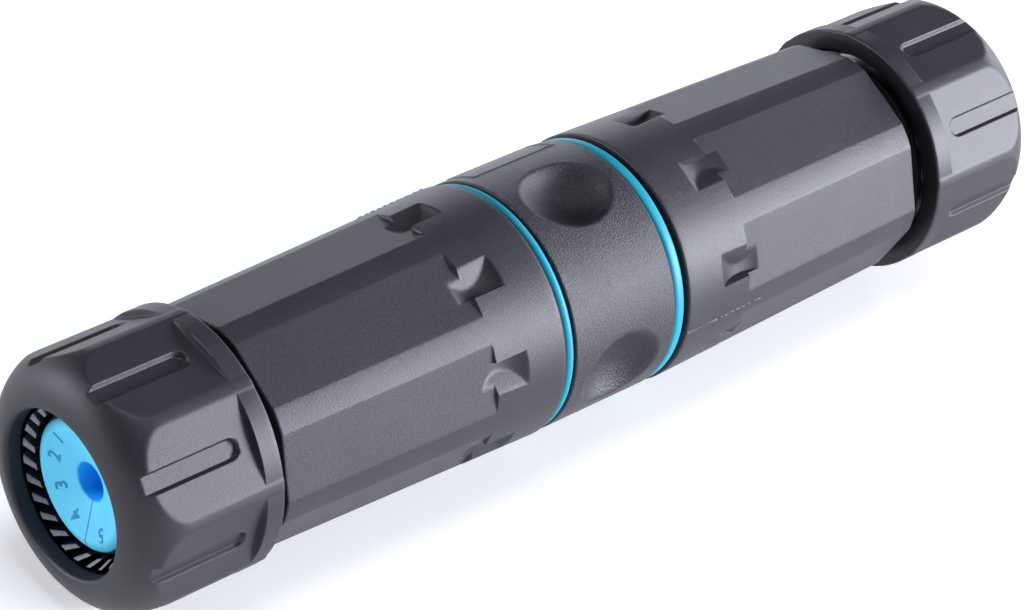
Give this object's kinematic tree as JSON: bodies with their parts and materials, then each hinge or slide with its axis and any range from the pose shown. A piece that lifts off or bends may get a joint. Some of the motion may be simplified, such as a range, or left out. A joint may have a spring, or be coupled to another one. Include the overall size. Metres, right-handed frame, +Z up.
{
  "type": "waterproof network cable coupler",
  "caption": "In-line waterproof coupler for network cables: a collar with sockets, faceted barrels sealed by blue rings, and clamping nuts over rubber cable seals.",
  "frame": {"origin": "on the floor under the middle of the length, the part lying on the rings of its clamping nuts", "axes": "+X along the cables towards the right nut, +Z up, -Y towards the viewer"},
  "size_m": [0.1228, 0.0272, 0.0272],
  "materials": {
    "body_plastic": "moulded, fine grain",
    "claw_plastic": "moulded, satin",
    "ring_rubber": "smooth",
    "seal_rubber": "satin",
    "socket_plastic": "moulded, satin",
    "contact_gold": "gold plated"
  },
  "bodies": {
    "centre": {"centre_shell": "body_plastic", "contact_carrier": "socket_plastic", "contact_1": "contact_gold", "contact_2": "contact_gold", "contact_3": "contact_gold", "contact_4": "contact_gold", "contact_5": "contact_gold", "contact_6": "contact_gold", "contact_7": "contact_gold", "contact_8": "contact_gold", "left_jack_shell": "socket_plastic", "right_jack_shell": "socket_plastic", "left_retainer": "body_plastic", "right_retainer": "body_plastic", "left_sealing_ring": "ring_rubber", "right_sealing_ring": "ring_rubber"},
    "left_seal_body": {"left_cable_seal": "seal_rubber"},
    "left_barrel_body": {"left_barrel": "body_plastic"},
    "left_claw_body": {"left_claw": "claw_plastic"},
    "left_nut_body": {"left_nut": "body_plastic"},
    "right_seal_body": {"right_cable_seal": "seal_rubber"},
    "right_barrel_body": {"right_barrel": "body_plastic"},
    "right_claw_body": {"right_claw": "claw_plastic"},
    "right_nut_body": {"right_nut": "body_plastic"}
  },
  "joints": [
    {"name": "left_barrel_travel", "type": "slide", "parent": "centre", "child": "left_seal_body", "axis": [-1, 0, 0], "range_m": [0, 0.00901]},
    {"name": "left_barrel_screw", "type": "hinge", "parent": "left_seal_body", "child": "left_barrel_body", "pos_m": [-0.00918, 0, 0.01362], "axis": [-1, 0, 0], "range_deg": [0, 1620]},
    {"name": "left_nut_travel", "type": "slide", "parent": "left_barrel_body", "child": "left_claw_body", "axis": [-1, 0, 0], "range_m": [0, 0.00801]},
    {"name": "left_nut_screw", "type": "hinge", "parent": "left_claw_body", "child": "left_nut_body", "pos_m": [-0.04512, 0, 0.01362], "axis": [-1, 0, 0], "range_deg": [0, 1440]},
    {"name": "right_barrel_travel", "type": "slide", "parent": "centre", "child": "right_seal_body", "axis": [1, 0, 0], "range_m": [0, 0.00901]},
    {"name": "right_barrel_screw", "type": "hinge", "parent": "right_seal_body", "child": "right_barrel_body", "pos_m": [0.00808, 0, 0.01362], "axis": [1, 0, 0], "range_deg": [0, 1620]},
    {"name": "right_nut_travel", "type": "slide", "parent": "right_barrel_body", "child": "right_claw_body", "axis": [1, 0, 0], "range_m": [-0.00101, 0.00801]},
    {"name": "right_nut_screw", "type": "hinge", "parent": "right_claw_body", "child": "right_nut_body", "pos_m": [0.04512, 0, 0.01362], "axis": [1, 0, 0], "range_deg": [-180, 1440]}
  ],
  "couplings": [
    {"joint": "left_barrel_travel", "follows": "left_barrel_screw", "m_per_rad": 0.00031831},
    {"joint": "left_nut_travel", "follows": "left_nut_screw", "m_per_rad": 0.00031831},
    {"joint": "right_barrel_travel", "follows": "right_barrel_screw", "m_per_rad": 0.00031831},
    {"joint": "right_nut_travel", "follows": "right_nut_screw", "m_per_rad": 0.00031831}
  ]
}
